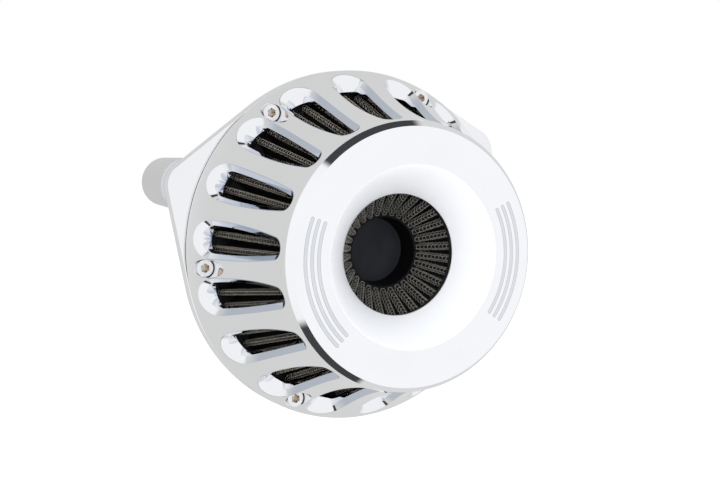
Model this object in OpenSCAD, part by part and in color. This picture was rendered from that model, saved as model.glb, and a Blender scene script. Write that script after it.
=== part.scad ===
// Motorcycle air filter: backing plate with two breather standoffs, a
// conical filter element with an inverted inner cone, and a slotted cage
// closed by a bell-mouthed face ring. Millimetres, +Z up. The filter's axis
// is Y and its face looks along -Y. The origin is the centre of the intake
// bore on the backing plate's back face.

/* [Backing plate] */
// Diameter of the plate and of the cage's back edge
plate_d = 180; // [176:1:184]
// Thickness of the plate
plate_t = 6.3; // [6:0.1:7]
// Corner radius of both ears
ear_r = 12; // [11:0.5:12]
// Left ear's centre, sideways from the axis
ear_left_x = -83.3; // [-84:0.1:-82]
// Left ear's centre, above the axis
ear_left_z = 40.2; // [39:0.1:41]
// Right ear's centre, sideways from the axis
ear_right_x = 76.3; // [75:0.1:78]
// Right ear's centre, above the axis
ear_right_z = 41; // [40:0.1:42]

/* [Intake] */
// Diameter of the intake bore, the same as the throttle body's
intake_d = 48; // [46:0.5:50]
// Circle that the throttle screws stand on
throttle_pcd = 74; // [73:0.5:76]
// Thread diameter of the throttle screws
throttle_screw_d = 6; // [5:1:6]
// Thickness of the throttle gasket
gasket_t = 1; // [0.8:0.1:1.5]

/* [Breather standoffs] */
// Length from the plate's back face to the cylinder head
standoff_len = 35; // [30:1:40]
// Radius at the cylinder head end
standoff_r_head = 12.4; // [12:0.1:12.6]
// Radius at the plate
standoff_r_plate = 13.4; // [13:0.1:13.6]
// Radius of the tapped socket for the breather bolt
socket_r = 5.4; // [5:0.1:6]
// Depth of the tapped socket
socket_len = 24; // [20:1:26]

/* [Cage] */
// Distance from the plate's back face to the cage's front edge
cage_front = 74.9; // [74:0.1:76]
// Diameter of the cage's front edge
cage_front_d = 130.6; // [129:0.1:132]
// Wall thickness, square to the cone
cage_wall = 7.6; // [7:0.1:8]
// Number of windows
windows = 18; // [18:6:18]
// How far the outside dips below a straight cone, halfway along
cage_dip = 3.8; // [3:0.1:4]
// Half of a window's width where it is widest, on the straight cone
window_half = 11.5; // [11:0.1:11.6]
// Slope of a window's sides, away from square to the cone
window_bevel = 33; // [28:1:34]
// Thickness of the gasket under the cage
cage_gasket_t = 0.8; // [0.8:0.1:1]

/* [Cover screws] */
// Number of screws
cover_screws_n = 6; // [6:6:6]
// Circle that the screws stand on
cover_pcd = 167.2; // [167:0.1:168]
// Thread diameter
cover_screw_d = 5; // [4:1:5]
// Head diameter
cover_head_d = 8.5; // [8:0.1:8.5]
// Height of the head's top above the plate's back face
cover_head_top = 17.3; // [17:0.1:17.5]

/* [Face ring] */
// Distance from the plate's back face to the flat face
face_front = 78.9; // [78:0.1:80]
// Diameter of the flat face's outer edge
face_d = 125.2; // [124:0.1:126]
// Diameter where the bell mouth leaves the flat face
bell_d = 89; // [87:0.5:90]
// Diameter of the hole
mouth_d = 59.4; // [57:0.2:60]
// Depth of the bell mouth
bell_depth = 18; // [17.5:0.1:18.4]
// Number of ring screws, hidden behind the face
face_screws_n = 6; // [6:6:6]

/* [Filter] */
// Number of pleats in the outer cone
outer_folds = 64; // [56:1:66]
// Depth of an outer pleat at the base
outer_fold_depth = 13; // [11:0.5:14]
// Number of pleats in the inner cone
inner_folds = 30; // [24:1:34]
// Inside radius of the inner cone at its deep end
inner_r_deep = 17.5; // [17.3:0.1:18]
// Distance from the plate's back face to the rubber cap's rim
cap_top = 45; // [44:0.5:46]
// Depth of the cup in the rubber cap
cap_depth = 12.5; // [11:0.5:14]

/* [Hidden] */
$fn = 96;
plate_r = plate_d / 2;
cage_back = plate_t + cage_gasket_t;
cage_band = 1.5;                       // straight band at the cage's back edge
foot_r = 78.9;                         // bore of the cage's foot, round the filter's base ring
cone_base = cage_back + cage_band;
cage_front_r = cage_front_d / 2;
cone_slope = (plate_r - cage_front_r) / (cage_front - cone_base);
cone_angle = atan(cone_slope);
wall_r = cage_wall / cos(cone_angle);  // wall measured along the radius
screw_gap = 0.15;                      // round a screw's shank
head_gap = 0.35;                       // round a screw's head
cover_r = cover_pcd / 2;
cover_head_r = cover_head_d / 2;
cover_seat = cover_head_top - cover_screw_d;
window_back = 12.0;                    // where a window starts, from the plate's back face
window_front = 71.2;                   // where it ends
window_length = (window_front - window_back) / cos(cone_angle);
window_belly = 20;                     // where along its length it is widest
window_side_r = 150;                   // radius of its long sides
cage_steps = 8;                        // straight steps that make the dip
flange_back = 68.6;                    // flange inside the cage's front end
flange_front = 71.4;
flange_r = 47;
face_screw_r = 52;
face_screw_d = 4;
face_head_r = 3.5;
face_head_h = 2.6;
face_r = face_d / 2;
bell_r = bell_d / 2;
mouth_r = mouth_d / 2;
bell_wall = 3;                         // thickness of the bell mouth
bell_power = 1.2;                      // 2 makes its section a quarter ellipse, 1 a straight cone
groove_r = [50, 53.4, 56.8];
groove_w = 1.6;
groove_depth = 0.5;
pit_d = 1.8;                           // round pit at each groove's end
pit_depth = 0.6;
grooves_left = [154, 219.3];           // start and end angles
grooves_right = [-39.4, 20.7];
base_top = 11;                         // top of the filter's base ring
base_r = 78.6;
ring_back = 59;                        // back of the filter's front ring
ring_front = 64.4;
inner_back = 57.5;                     // back of the part of that ring under the bell mouth
inner_front = 59;
front_ring_r = 30;                     // its bore
bell_room = [4.6, 6.2];                // from the bore to its slope round the bell mouth, back and front
fold_r_back = 78.4;                    // outer pleats' tips at the base
fold_r_front = 60.6;                   // and at the front ring
screen_t = 0.9;                        // screen's thickness along the radius
media_t = 3;                           // pleated media's thickness along the radius
layer_gap = 0.2;
core_t = 0.8;
inner_r_front = 29.6;                  // inner pleats' tips at the front ring
inner_fold_depth = 4.6;                // at the deep end
inner_screen_t = 0.6;
inner_media_t = 1.8;
cap_r = 28;                            // rubber cap's flange, behind the inner pleats
cap_flange_t = 5;
cap_t = 2.5;                           // wall and floor of its cup
cup_r = 16.2;                          // cup's floor
cup_rim_r = 17.2;
horn_flange_r = 43;
horn_flange_t = 3;
horn_seat = plate_t + horn_flange_t;   // where the throttle screws' heads stand
neck_step = 0.5;                       // how much thinner a screw's neck is than its thread
horn_top = 18;
horn_wall = 1.8;
horn_round = 5;                        // radius of the horn's rolled lip
port_r = 2;                            // breather gallery drilled inside the plate
port_end = 52;
spigot_r = 8;
spigot_len = 4.5;
oring_r = 9.4;
oring_wire = 1.2;
oring_proud = 0.4;
ears = [[ear_left_x, ear_left_z], [ear_right_x, ear_right_z]];

// Every piece is drawn with its axis up and is then laid down to face -Y
module lay() rotate([90, 0, 0]) children();

// Places its children round the axis
module around(count, radius, first = 0)
    for (i = [0 : count - 1])
        rotate(first + 360 / count * i) translate([radius, 0, 0]) children();

// A flat ring from height a to height b
module ring(r_in, r_out, a, b)
    translate([0, 0, a]) difference() {
        cylinder(r = r_out, h = b - a);
        translate([0, 0, -1]) cylinder(r = r_in, h = b - a + 2);
    }

function polar(r, a) = [r * cos(a), r * sin(a)];
function arc(c, r, a, b, n) = [for (i = [0 : n]) c + polar(r, a + (b - a) * i / n)];
function cone_r(d) = plate_r - cone_slope * (d - cone_base);

// ---------------------------------------------------------------- plate

// Angles at which the two tangents of an ear touch the disc
function ear_turn(c) = atan2(c[1], c[0]);
function ear_lean(c) = acos((plate_r - ear_r) / norm(c));
function ear_arc(c) =
    arc(c, ear_r, ear_turn(c) - ear_lean(c), ear_turn(c) + ear_lean(c), 16);

// Disc with two ears, run round from the right ear over the left one
function plate_outline() =
    let (left = ears[0], right = ears[1])
    concat(ear_arc(right),
           arc([0, 0], plate_r, ear_turn(right) + ear_lean(right),
               ear_turn(left) - ear_lean(left), 16),
           ear_arc(left),
           arc([0, 0], plate_r, ear_turn(left) + ear_lean(left),
               ear_turn(right) - ear_lean(right) + 360, 96));

// Gallery from a standoff to the clean side of the filter
module breather_port(c) {
    reach = norm(c);
    rotate(atan2(c[1], c[0])) {
        translate([port_end, 0, plate_t / 2]) rotate([0, 90, 0])
            cylinder(r = port_r, h = reach - port_end);
        translate([port_end + port_r, 0, plate_t / 2]) cylinder(r = port_r, h = plate_t);
    }
    translate([c[0], c[1], -1]) cylinder(r = spigot_r + 0.05, h = spigot_len + 1);
}

module back_plate() color("gainsboro") lay() difference() {
    linear_extrude(plate_t) polygon(plate_outline());
    translate([0, 0, -1]) cylinder(d = intake_d + 2 * horn_wall + 0.2, h = plate_t + 2);
    around(3, throttle_pcd / 2, 90) translate([0, 0, -1])
        cylinder(d = throttle_screw_d + 2 * screw_gap, h = plate_t + 2);
    around(cover_screws_n, cover_r) translate([0, 0, -1])
        cylinder(d = cover_screw_d + 2 * screw_gap, h = plate_t + 2);
    for (c = ears) breather_port(c);
}

// Flanged horn with a rolled lip, standing on the plate
module intake_horn() color("silver") lay() difference() {
    rotate_extrude() {
        bore = intake_d / 2;
        lip = horn_top - horn_round;
        polygon(concat(
            [[bore, 0], [bore + horn_wall, 0], [bore + horn_wall, plate_t],
             [horn_flange_r, plate_t], [horn_flange_r, horn_seat],
             [bore + horn_wall, horn_seat]],
            arc([bore + horn_round, lip], horn_round - horn_wall, 180, 90, 8),
            arc([bore + horn_round, lip], horn_round, 90, 180, 12)));
    }
    around(3, throttle_pcd / 2, 90) translate([0, 0, plate_t - 1])
        cylinder(d = throttle_screw_d + 2 * screw_gap, h = horn_flange_t + 2);
}

module throttle_gasket() color("dimgray") lay() difference() {
    ring(intake_d / 2 + 1, horn_flange_r, -gasket_t, 0);
    around(3, throttle_pcd / 2, 90) translate([0, 0, -gasket_t - 1])
        cylinder(d = throttle_screw_d + 2 * screw_gap, h = gasket_t + 2);
}

// A socket-head screw standing on height seat, with its shank pointing down.
// The first part of the shank, of length neck, is thinner and has no thread.
module socket_screw(d, head_r, head_h, shank, hex, seat, neck = 0) translate([0, 0, seat])
    difference() {
        union() {
            translate([0, 0, -shank]) cylinder(d = d, h = shank - neck);
            translate([0, 0, -shank]) cylinder(d = d - neck_step, h = shank);
            cylinder(r = head_r, h = head_h - 0.4);
            translate([0, 0, head_h - 0.4]) cylinder(r1 = head_r, r2 = head_r - 0.4, h = 0.4);
        }
        translate([0, 0, head_h / 2]) cylinder(d = hex / cos(30), h = head_h, $fn = 6);
    }

module throttle_screws() color("darkgray") lay() around(3, throttle_pcd / 2, 90)
    socket_screw(throttle_screw_d, 5, 6, 22, 5, horn_seat, horn_seat + gasket_t);

// ------------------------------------------------------------ standoffs

// Tapered post with a tapped socket, an O-ring groove and a spigot in the plate
module standoff(c) translate([c[0], c[1], -standoff_len]) difference() {
    union() {
        cylinder(r1 = standoff_r_head, r2 = standoff_r_plate, h = standoff_len);
        cylinder(r = spigot_r, h = standoff_len + spigot_len);
    }
    translate([0, 0, -1]) cylinder(r = socket_r, h = socket_len + 1);
    cylinder(r = port_r + 1, h = standoff_len + spigot_len + 1);
    ring(oring_r - oring_wire - 0.1, oring_r + oring_wire + 0.1,
         -1, 2 * oring_wire - oring_proud);
}

module standoff_oring(c)
    translate([c[0], c[1], oring_wire - oring_proud - standoff_len])
        rotate_extrude() translate([oring_r, 0]) circle(r = oring_wire, $fn = 24);

module breather_standoff_left() color("lightgray") lay() standoff(ears[0]);
module breather_standoff_right() color("lightgray") lay() standoff(ears[1]);
module standoff_oring_left() color("black") lay() standoff_oring(ears[0]);
module standoff_oring_right() color("black") lay() standoff_oring(ears[1]);

// ----------------------------------------------------------------- cage

module cage_gasket() color("black") lay() difference() {
    ring(foot_r + 0.4, plate_r - 0.4, plate_t, cage_back);
    around(cover_screws_n, cover_r) translate([0, 0, plate_t - 1])
        cylinder(d = cover_screw_d + 4 * screw_gap, h = cage_gasket_t + 2);
}

// Radius of a window's round end, and the turn at which it meets the long sides.
// reach is the distance from the belly to the end's tip.
function end_r(reach) =
    (pow(window_side_r, 2) - pow(window_side_r - window_half, 2) - pow(reach, 2))
        / (2 * (window_side_r - reach));
function end_turn(reach) = asin((reach - end_r(reach)) / (window_side_r - end_r(reach)));

// One long side, without the two points that its neighbours already hold
function window_side(side, grow, a, b) =
    let (step = (b - a) / 4)
    arc([window_belly, side * (window_side_r - window_half)], window_side_r + grow,
        a + step, b - step, 2);

// Outline of a window, seen square to the cone: an egg of four arcs.
// u runs forwards along the cone and v across it; grow widens it all round.
function window_outline(grow) =
    let (ahead = window_length - window_belly,
         back_r = end_r(window_belly), back_turn = end_turn(window_belly),
         front_r = end_r(ahead), front_turn = end_turn(ahead))
    concat(arc([back_r, 0], back_r + grow, 90 + back_turn, 270 - back_turn, 12),
           window_side(1, grow, 270 - back_turn, 270 + front_turn),
           arc([window_length - front_r, 0], front_r + grow,
               270 + front_turn, 450 - front_turn, 8),
           window_side(-1, grow, 90 - front_turn, 90 + back_turn));

// Cutter of one window, wider outside than inside
module window_cutter() {
    above = 1.5;
    below = cage_wall + 1.9;
    outer = window_outline(above * tan(window_bevel));
    inner = window_outline(-below * tan(window_bevel));
    n = len(outer);
    translate([cone_r(window_back), 0, window_back])
        rotate([0, -90 - cone_angle, 0]) mirror([0, 0, 1])
            polyhedron(
                points = concat([for (p = outer) [p[0], p[1], above]],
                                [for (p = inner) [p[0], p[1], -below]]),
                faces = concat(
                    [[for (i = [n - 1 : -1 : 0]) i]],
                    [for (i = [0 : n - 1]) [i, (i + 1) % n, n + (i + 1) % n, n + i]],
                    [[for (i = [0 : n - 1]) n + i]]));
}

// A point of the cage's outside, which dips below the cone between its two ends
function cage_point(share) =
    let (d = cone_base + (cage_front - cone_base) * share)
    [cone_r(d) - 4 * cage_dip * share * (1 - share), d];

module outer_cage() color("silver") lay() difference() {
    rotate_extrude() polygon(concat(
        [[foot_r, cage_back], [plate_r - 0.6, cage_back], [plate_r, cage_back + 0.6]],
        [for (i = [0 : cage_steps]) cage_point(i / cage_steps)],
        [[cage_front_r - wall_r, cage_front],
         [cage_front_r - wall_r, flange_front], [flange_r, flange_front],
         [flange_r, flange_back], [cone_r(flange_back) - wall_r, flange_back],
         [foot_r, cone_base + (plate_r - wall_r - foot_r) / cone_slope]]));
    around(windows, 0, 10) window_cutter();
    around(cover_screws_n, cover_r) {
        translate([0, 0, cage_back - 1])
            cylinder(d = cover_screw_d + 2 * screw_gap, h = cover_seat);
        translate([0, 0, cover_seat]) cylinder(r = cover_head_r + head_gap, h = 40);
    }
    around(face_screws_n, face_screw_r, 30) translate([0, 0, flange_back - 1])
        cylinder(d = face_screw_d + 2 * screw_gap, h = 6);
}

module cover_screws() color("lightsteelblue") lay() around(cover_screws_n, cover_r)
    socket_screw(cover_screw_d, cover_head_r, cover_screw_d, cover_seat - 0.3, 4, cover_seat);

// ------------------------------------------------------------ face ring

// A point of the bell mouth's section: turn 0 is at the flat face, 90 at the lip
function bell_point(turn, wall) =
    [bell_r - (bell_r - mouth_r - wall) * pow(sin(turn), 2 / bell_power),
     face_front - bell_depth + (bell_depth - wall) * pow(cos(turn), 2 / bell_power)];

// Three engraved arcs between two angles, each ending in a small round pit
module grooves(angles) for (r = groove_r) {
    rotate(angles[0]) rotate_extrude(angle = angles[1] - angles[0])
        translate([r - groove_w / 2, face_front - groove_depth]) square([groove_w, 2]);
    for (a = angles) rotate(a) translate([r, 0, face_front - pit_depth])
        cylinder(d = pit_d, h = 2, $fn = 24);
}

module face_ring() color("whitesmoke") lay() difference() {
    rotate_extrude() {
        skin = [for (i = [0 : 16]) bell_point(90 * i / 16, 0)];
        back = [for (i = [16 : -1 : 0]) bell_point(90 * i / 16, bell_wall)];
        polygon(concat([[face_r, face_front]], skin, back, [
            [bell_r, flange_front + 0.1], [cage_front_r - wall_r - 0.15, flange_front + 0.1],
            [cage_front_r - wall_r - 0.15, cage_front + 0.15],
            [cage_front_r, cage_front + 0.15]]));
    }
    grooves(grooves_left);
    grooves(grooves_right);
    around(face_screws_n, face_screw_r, 30) translate([0, 0, flange_front - 1])
        cylinder(d = face_screw_d + 2 * screw_gap, h = 6.4);
}

module face_screws() color("darkgray") lay() around(face_screws_n, face_screw_r, 30)
    mirror([0, 0, 1]) socket_screw(face_screw_d, face_head_r, face_head_h, 7.4, 2.5,
                                   -flange_back);

// --------------------------------------------------------------- filter

module filter_base_ring() color("black") lay()
    ring(60, base_r, plate_t, base_top);

// A zigzag tube: count folds between radii r_in and r_out, thick along the radius
module folds(count, r_in, r_out, thick, height, taper)
    linear_extrude(height = height, scale = taper) difference() {
        polygon([for (i = [0 : 2 * count - 1])
            polar(i % 2 == 0 ? r_out : r_in + thick, 180 / count * i)]);
        polygon([for (i = [0 : 2 * count - 1])
            polar(i % 2 == 0 ? r_out - thick : r_in, 180 / count * i)]);
    }

module outer_layer(r_out, thick) translate([0, 0, base_top])
    folds(outer_folds, r_out - outer_fold_depth + screen_t - thick, r_out, thick,
          ring_back - base_top, fold_r_front / fold_r_back);

module outer_screen() color("dimgray") lay() outer_layer(fold_r_back, screen_t);

module outer_pleats() color("black") lay()
    outer_layer(fold_r_back - screen_t - layer_gap, media_t);

// A plain cone shell between two heights
module cone_shell(r_low, r_high, thick, a, b) rotate_extrude() polygon([
    [r_low, a], [r_low + thick, a], [r_high + thick, b], [r_high, b]]);

module outer_core() color("gray") lay()
    cone_shell(61, 44, core_t, base_top, ring_back);

// Its bore is in line with the bell mouth's lip, and its outer part stands round the bell
module filter_front_ring() color("black") lay() rotate_extrude() polygon([
    [front_ring_r, inner_back], [43, inner_back], [43, ring_back], [fold_r_front, ring_back],
    [fold_r_front - 1.6, ring_front], [front_ring_r + bell_room[1], ring_front],
    [front_ring_r + bell_room[0], inner_front], [front_ring_r, inner_front]]);

module inner_layer(r_in, depth, thick) translate([0, 0, cap_top])
    rotate(180 / inner_folds) folds(inner_folds, r_in, r_in + depth, thick,
          inner_back - cap_top, inner_r_front / inner_r_deep);

module inner_screen() color("dimgray") lay()
    inner_layer(inner_r_deep, inner_fold_depth, inner_screen_t);

module inner_pleats() color("black") lay()
    inner_layer(inner_r_deep + inner_screen_t + layer_gap, inner_fold_depth + 1.4, inner_media_t);

module inner_core() color("gray") lay()
    cone_shell(26.2, 41.4, core_t, cap_top, inner_back);

// Rubber cap that closes the deep end of the inner cone: a flange with a cup sunk in it
module end_cap() color([0.16, 0.16, 0.17]) lay() {
    floor = cap_top - cap_depth;
    rotate_extrude() polygon([
        [0, floor - cap_t], [cup_r + cap_t, floor - cap_t], [cup_r + cap_t, cap_top - cap_flange_t],
        [cap_r, cap_top - cap_flange_t], [cap_r, cap_top], [cup_rim_r, cap_top],
        [cup_r, floor], [0, floor]]);
}

back_plate();
intake_horn();
throttle_gasket();
throttle_screws();
breather_standoff_left();
breather_standoff_right();
standoff_oring_left();
standoff_oring_right();
cage_gasket();
outer_cage();
face_ring();
face_screws();
cover_screws();
filter_base_ring();
outer_screen();
outer_pleats();
outer_core();
filter_front_ring();
inner_screen();
inner_pleats();
inner_core();
end_cap();
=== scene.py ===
from math import acos, asin, atan, atan2, copysign, cos, hypot, pi, radians, sin, sqrt, tan
import bpy
import numpy as np
from mathutils import Matrix, Vector
from mathutils.geometry import delaunay_2d_cdt


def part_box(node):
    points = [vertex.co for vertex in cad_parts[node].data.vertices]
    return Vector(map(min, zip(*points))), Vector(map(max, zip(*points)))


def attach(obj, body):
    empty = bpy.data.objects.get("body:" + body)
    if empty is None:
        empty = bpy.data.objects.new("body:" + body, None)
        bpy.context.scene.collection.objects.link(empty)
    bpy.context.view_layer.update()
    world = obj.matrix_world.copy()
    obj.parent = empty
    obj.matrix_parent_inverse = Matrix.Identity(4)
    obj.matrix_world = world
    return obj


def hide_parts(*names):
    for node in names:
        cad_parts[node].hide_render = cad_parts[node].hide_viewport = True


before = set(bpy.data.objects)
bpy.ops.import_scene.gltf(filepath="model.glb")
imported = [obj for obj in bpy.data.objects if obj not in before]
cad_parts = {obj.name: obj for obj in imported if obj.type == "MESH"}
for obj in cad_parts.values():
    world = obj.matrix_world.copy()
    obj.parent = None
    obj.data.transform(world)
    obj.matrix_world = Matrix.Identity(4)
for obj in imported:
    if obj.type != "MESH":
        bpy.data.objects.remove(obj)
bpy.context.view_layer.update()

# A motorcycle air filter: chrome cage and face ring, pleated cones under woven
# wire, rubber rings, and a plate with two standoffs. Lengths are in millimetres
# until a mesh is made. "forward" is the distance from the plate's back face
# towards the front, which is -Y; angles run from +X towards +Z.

MM = 0.001


# ---------- places in the CAD

def reach(node):
    """How far forward a node's back and front are."""
    low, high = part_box(node)
    return -high.y / MM, -low.y / MM


def radius(node):
    low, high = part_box(node)
    return (high.x - low.x) / 2 / MM


def centre(node):
    """A node's middle as seen from the front."""
    low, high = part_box(node)
    return np.array([low.x + high.x, low.z + high.z]) / 2 / MM


PLATE_T = reach("back_plate")[1]
CAGE_BACK, CAGE_FRONT = reach("outer_cage")
CAGE_R = radius("outer_cage")
FACE_R = radius("face_ring")
LIP, FACE = reach("face_ring")
HEAD_TOP = reach("cover_screws")[1]
BASE_TOP = reach("filter_base_ring")[1]
BASE_R = radius("filter_base_ring")
RING_BACK, RING_FRONT = reach("filter_front_ring")
RING_R = radius("filter_front_ring")
SCREEN_TOP = reach("outer_screen")[1]
SCREEN_R = radius("outer_screen")
CAP_BACK, CAP_TOP = reach("end_cap")
CAP_R = radius("end_cap")
INNER_BACK, INNER_FRONT = reach("inner_screen")
HORN_TOP = reach("intake_horn")[1]
GASKET_BACK = reach("throttle_gasket")[0]
HEAD_END = reach("breather_standoff_left")[0]
EARS = [centre("breather_standoff_left"), centre("breather_standoff_right")]

# sizes that the boxes don't give
CONE_BACK = CAGE_BACK + 1.5
CONE_SLOPE = (CAGE_R - FACE_R) / (CAGE_FRONT - CONE_BACK)
CONE_ANGLE = atan(CONE_SLOPE)
WALL = 7.6
WALL_R = WALL / cos(CONE_ANGLE)
FOOT_R = 78.9
FOOT_TOP = CONE_BACK + (CAGE_R - WALL_R - FOOT_R) / CONE_SLOPE
FLANGE_R, FLANGE_BACK, FLANGE_FRONT = 47, 68.6, 71.4
DIP = 3.8
WINDOW_BACK, WINDOW_FRONT = 12.0, 71.2
WINDOW_LENGTH = (WINDOW_FRONT - WINDOW_BACK) / cos(CONE_ANGLE)
WINDOW_HALF, WINDOW_BELLY, WINDOW_SIDE_R = 11.5, 20, 150
WINDOW_BEVEL = tan(radians(33))
SCREW_HEAD_H, COVER_BORE = 5, 2.65
COVER_R, COVER_SEAT, POCKET_R = 83.6, HEAD_TOP - SCREW_HEAD_H, 4.6
RING_SCREWS_R, THROTTLE_SCREWS_R, THROTTLE_BORE = 52, 37, 3.15
HORN_R, HORN_FLANGE_R, HORN_HOLE = 24.0, 43, 25.9
HORN_FLANGE = PLATE_T + 3
EAR_R, PORT_R, PORT_CENTRE_R = 12.0, 2, 54
RING_LEDGE = 59
CUP_R = 16.2
OUTER_TIP_R, INNER_DEEP_R, INNER_FRONT_R, INNER_FOLD = 60.6, 17.5, 29.6, 4.6
ROUND = 540              # steps round the cage and the face ring
FACE_FLAT_R, BELL_R, MOUTH_R, BELL_POWER = 62.6, 44.5, 29.7, 1.2
GROOVES = {"radii": (50, 53.4, 56.8), "width": 1.7, "depth": 0.55,
           "spans": ((154, 219.3), (-39.4, 20.7))}


# ---------- camera

def add_object(name, data):
    made = bpy.data.objects.new(name, data)
    bpy.context.scene.collection.objects.link(made)
    return made


def add_camera():
    """The photo's camera, fitted to it: its turns, the point it looks at and how far off it is."""
    heading, tilt, roll = (radians(a) for a in (25.037, -7.168, -4.443))
    level = cos(tilt)
    ahead = Vector((sin(heading) * level, cos(heading) * level, sin(tilt)))
    right = Vector((cos(heading), -sin(heading), 0))
    up = right.cross(ahead)
    right, up = (right * cos(roll) + up * sin(roll),
                 up * cos(roll) - right * sin(roll))
    aim, distance = Vector((-7.77, -35.53, 6.05)) * MM, 773.86
    camera = add_object("camera", bpy.data.cameras.new("camera"))
    camera.data.lens, camera.data.sensor_width = 77.6, 36
    camera.data.clip_start, camera.data.clip_end = 0.01, 50
    turn = Matrix((right, up, -ahead)).transposed().to_4x4()
    camera.matrix_world = Matrix.Translation(aim - ahead * distance * MM) @ turn
    bpy.context.scene.camera = camera


add_camera()


# ---------- nodes of shaders

class Shader:
    """A node tree with short ways to add and join nodes."""

    def __init__(self, tree):
        self.tree = tree

    def add(self, kind, inputs=(), **settings):
        """A new node. A socket among its inputs is joined to it; a number or a colour is set."""
        node = self.tree.nodes.new("ShaderNode" + kind)
        for name, value in settings.items():
            setattr(node, name, value)
        for name, value in dict(inputs).items():
            target = node.inputs[name]
            if isinstance(value, bpy.types.NodeSocket):
                self.join(value, target)
            else:
                target.default_value = (*value, 1) if target.type == "RGBA" else value
        return node

    def join(self, source, target):
        self.tree.links.new(source, target)

    def math(self, operation, first, second=0.0):
        return self.add("Math", {0: first, 1: second}, operation=operation).outputs[0]

    def times(self, first, second):
        return self.math("MULTIPLY", first, second)

    def fade(self, value, low, high):
        """0 where value is low, 1 where it is high, and smooth between."""
        return self.add("MapRange", {"Value": value, "From Min": low, "From Max": high},
                        interpolation_type="SMOOTHSTEP").outputs["Result"]

    def blend(self, share, first, second):
        """A mix of two colours, each a socket or a triple."""
        return self.add("Mix", {0: share, 6: first, 7: second}, data_type="RGBA").outputs[2]

    def parts(self, vector):
        return self.add("SeparateXYZ", {0: vector}).outputs


class Finish(Shader):
    """A Principled material, with short ways to pattern its colour, roughness and surface."""

    def __init__(self, name, colour, rough, metal=0.0, inputs=None):
        self.made = bpy.data.materials.new(name)
        self.made.use_nodes = True
        self.made.node_tree.nodes.clear()
        super().__init__(self.made.node_tree)
        self.bsdf = self.add("BsdfPrincipled", {"Base Color": colour, "Roughness": rough,
                                                "Metallic": metal, **(inputs or {})})
        self.add("OutputMaterial", {"Surface": self.bsdf.outputs[0]})
        self.where = self.add("TexCoord").outputs["Object"]

    def noise(self, scale, stretch=(1, 1, 1), detail=3.0):
        spread = self.add("Mapping", {"Scale": stretch, "Vector": self.where}).outputs[0]
        return self.add("TexNoise", {"Scale": scale, "Detail": detail, "Vector": spread}).outputs[0]

    def bump(self, height, strength, distance):
        node = self.add("Bump", {"Strength": strength, "Distance": distance, "Height": height})
        self.join(node.outputs[0], self.bsdf.inputs["Normal"])

    def vary(self, share, low, high):
        """Roughness that runs from low to high with a 0 to 1 value."""
        self.join(self.math("ADD", low, self.times(share, high - low)),
                  self.bsdf.inputs["Roughness"])

    def tint(self, share, low, high):
        """Colour that runs from low to high; a number for high is a share of low."""
        if isinstance(high, float):
            high = tuple(c * high for c in low)
        self.join(self.blend(share, low, high), self.bsdf.inputs["Base Color"])


def chrome(name, colour, rough):
    """Polished plate: faint waves and smudges."""
    finish = Finish(name, colour, rough, 1.0)
    smudge = finish.fade(finish.noise(38), 0.42, 0.72)
    finish.vary(smudge, rough, rough + 0.035)
    finish.tint(smudge, colour, 0.985)
    finish.bump(finish.noise(30, detail=1.0), 0.03, 0.0004)
    return finish


def painted_reflection_chrome(name, colour, reflection_tint, rough):
    """Chrome of the window walls, with a painted reflection: blue-grey in front of the windows' back ends.
    """
    finish = Finish(name, colour, rough, 1.0)
    ahead = finish.times(finish.parts(finish.where)[1], -1.0)
    wave = finish.times(finish.noise(70, detail=1.0), 0.012)
    # painted reflection: a blue-grey tint set by how far forward a point is, with a wavy edge
    finish.tint(finish.fade(finish.math("ADD", ahead, wave), 0.022, 0.034), colour, reflection_tint)
    finish.vary(finish.noise(40), rough, rough + 0.04)
    return finish


def turned(name, colour, rough, strength=0.25):
    """Lathe-turned metal: fine rings along the filter's axis."""
    finish = Finish(name, colour, rough, 1.0)
    rings = finish.noise(900, stretch=(0.02, 1, 0.02), detail=2.0)
    finish.bump(rings, strength, 0.00004)
    finish.vary(rings, rough - 0.05, rough + 0.08)
    finish.tint(finish.noise(60), colour, 0.93)
    return finish


def rubber(name, colour, rough):
    """Moulded rubber: fine grain, and a bloom that dulls it in patches."""
    finish = Finish(name, colour, rough, inputs={"Specular IOR Level": 0.12})
    bloom = finish.fade(finish.noise(55), 0.4, 0.7)
    finish.tint(bloom, colour, tuple(c * 1.35 + 0.001 for c in colour))
    finish.vary(bloom, rough, rough + 0.12)
    finish.bump(finish.noise(2600), 0.25, 0.00006)
    return finish


def cup_rubber_painted_shade(name, colour, floor, rough):
    """Moulded rubber, near-black round its cup as painted shade, with the cup's floor paler, partly a
    painted reflection, and mottled.
    """
    finish = rubber(name, colour, rough)
    x, _, z = finish.parts(finish.where)
    out = finish.math("SQRT", finish.math("ADD", finish.times(x, x), finish.times(z, z)))
    base = finish.bsdf.inputs["Base Color"].links[0].from_socket
    painted_floor_tone = finish.blend(finish.fade(finish.noise(120), 0.3, 0.75),
                        floor, tuple(c * 0.8 for c in floor))
    # painted shade: near-black outside the cup's floor; the floor is paler, partly painted reflection
    finish.tint(finish.fade(out, (CUP_R - 0.1) * MM, (CUP_R - 0.3) * MM), base, painted_floor_tone)
    return finish


def satin(name, colour):
    """Fine-blasted bright metal: even and soft, with faint mottling."""
    finish = Finish(name, colour, 0.55, inputs={"Specular IOR Level": 0.4})
    mottle = finish.fade(finish.noise(90), 0.35, 0.7)
    finish.tint(mottle, colour, 0.99)
    finish.vary(mottle, 0.5, 0.6)
    finish.bump(finish.noise(5000), 0.05, 0.00002)
    return finish


def cotton(name):
    """Oiled black gauze, with a fine cell texture and lint."""
    finish = Finish(name, (0.008, 0.008, 0.009), 0.85, inputs={"Specular IOR Level": 0.15})
    cells = finish.add("TexVoronoi", {"Scale": 2400, "Vector": finish.where})
    finish.bump(cells.outputs["Distance"], 0.6, 0.0001)
    finish.tint(finish.noise(300), (0.003, 0.003, 0.003), (0.010, 0.0095, 0.009))
    return finish


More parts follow.
